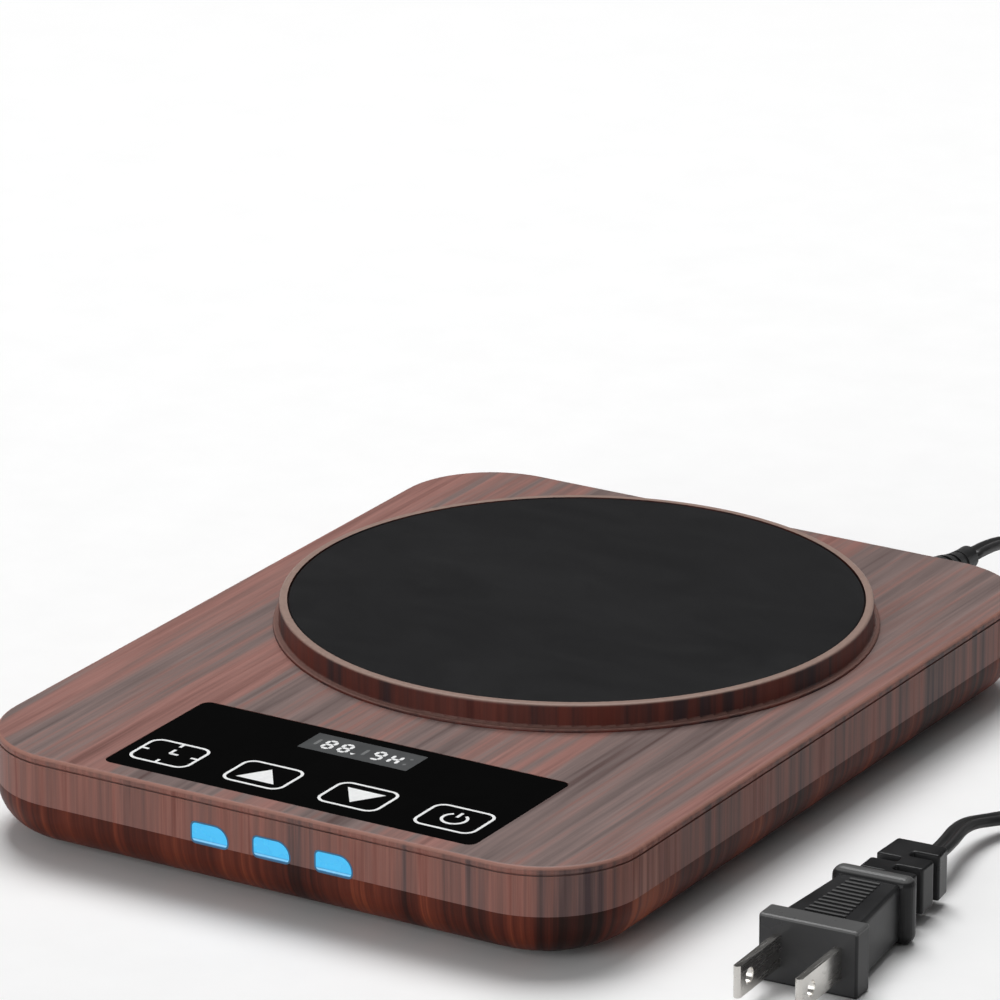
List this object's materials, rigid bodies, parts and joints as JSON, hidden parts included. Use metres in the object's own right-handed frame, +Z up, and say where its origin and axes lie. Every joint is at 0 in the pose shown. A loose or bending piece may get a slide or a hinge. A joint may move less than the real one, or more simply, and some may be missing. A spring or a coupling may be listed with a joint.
{
  "type": "warming mat",
  "caption": "Flat electric warming mat with a raised round glass plate, a flush touch panel, lit edge windows and a flat two-blade mains cord.",
  "frame": {"origin": "on the floor under the centre of the casing, at the bottom of the feet", "axes": "+Z up, -Y towards the touch panel, +X to the right seen from the panel side"},
  "size_m": [0.2381, 0.2727, 0.0268],
  "materials": {
    "wood_print_top": "satin moulded plastic with a walnut wood-grain print",
    "wood_print_tray": "satin moulded plastic with a darker red-brown wood-grain print",
    "wood_print_collar": "satin moulded plastic with a walnut wood-grain print",
    "black_plate_glass": "polished black warming-plate glass",
    "lens_gloss": "gloss black touch lens",
    "window_blue": "lit blue diffuser",
    "foot_rubber": "matt black rubber",
    "silicone": "red silicone",
    "boot_rubber": "soft black overmould",
    "cord_jacket": "black PVC twin cord jacket",
    "plug_black": "satin black PVC overmould",
    "blade_metal": "bright nickel-plated brass",
    "aluminium_sheet": "plain aluminium",
    "pan_steel": "pressed zinc-plated steel",
    "screw_steel": "zinc-plated steel",
    "mica": "mica sheet",
    "fibre": "white ceramic fibre",
    "board_green": "green circuit board",
    "component_black": "moulded black component",
    "component_blue": "moulded blue component",
    "component_white": "moulded white component",
    "tape_black": "black bonding tape",
    "pad_foam": "conductive foam",
    "lead_red": "red silicone sleeve"
  },
  "bodies": {
    "root": {"top_shell": "wood_print_top", "bottom_tray": "wood_print_tray", "plate_collar": "wood_print_collar", "plate_glass": "black_plate_glass", "control_lens": "lens_gloss", "display_module": "component_black", "indicator_windows": "window_blue", "rubber_feet": "foot_rubber", "strain_relief": "boot_rubber", "power_cord": "cord_jacket", "cord_coil": "cord_jacket", "plug_cord": "cord_jacket", "plug_body": "plug_black", "plug_blades": "blade_metal", "plate_gasket": "silicone", "heat_spreader": "aluminium_sheet", "heating_element": "mica", "insulation_pad": "fibre", "heater_pan": "pan_steel", "pan_screws": "screw_steel", "thermistor": "component_black", "thermal_cutoff": "blade_metal", "lens_tape": "tape_black", "touch_board": "board_green", "touch_pads": "pad_foam", "touch_board_screws": "screw_steel", "main_board": "board_green", "main_board_screws": "screw_steel", "pin_header": "component_black", "relay": "component_blue", "transformer": "component_black", "capacitors": "component_black", "terminal_block": "component_blue", "heater_terminals": "component_white", "buzzer": "component_black", "control_chip": "component_black", "indicator_board": "board_green", "indicator_leds": "component_white", "mains_lead": "cord_jacket", "heater_leads": "lead_red", "sensor_lead": "component_white", "cord_clamp": "component_white", "clamp_screws": "screw_steel", "case_screws": "screw_steel"}
  },
  "joints": []
}
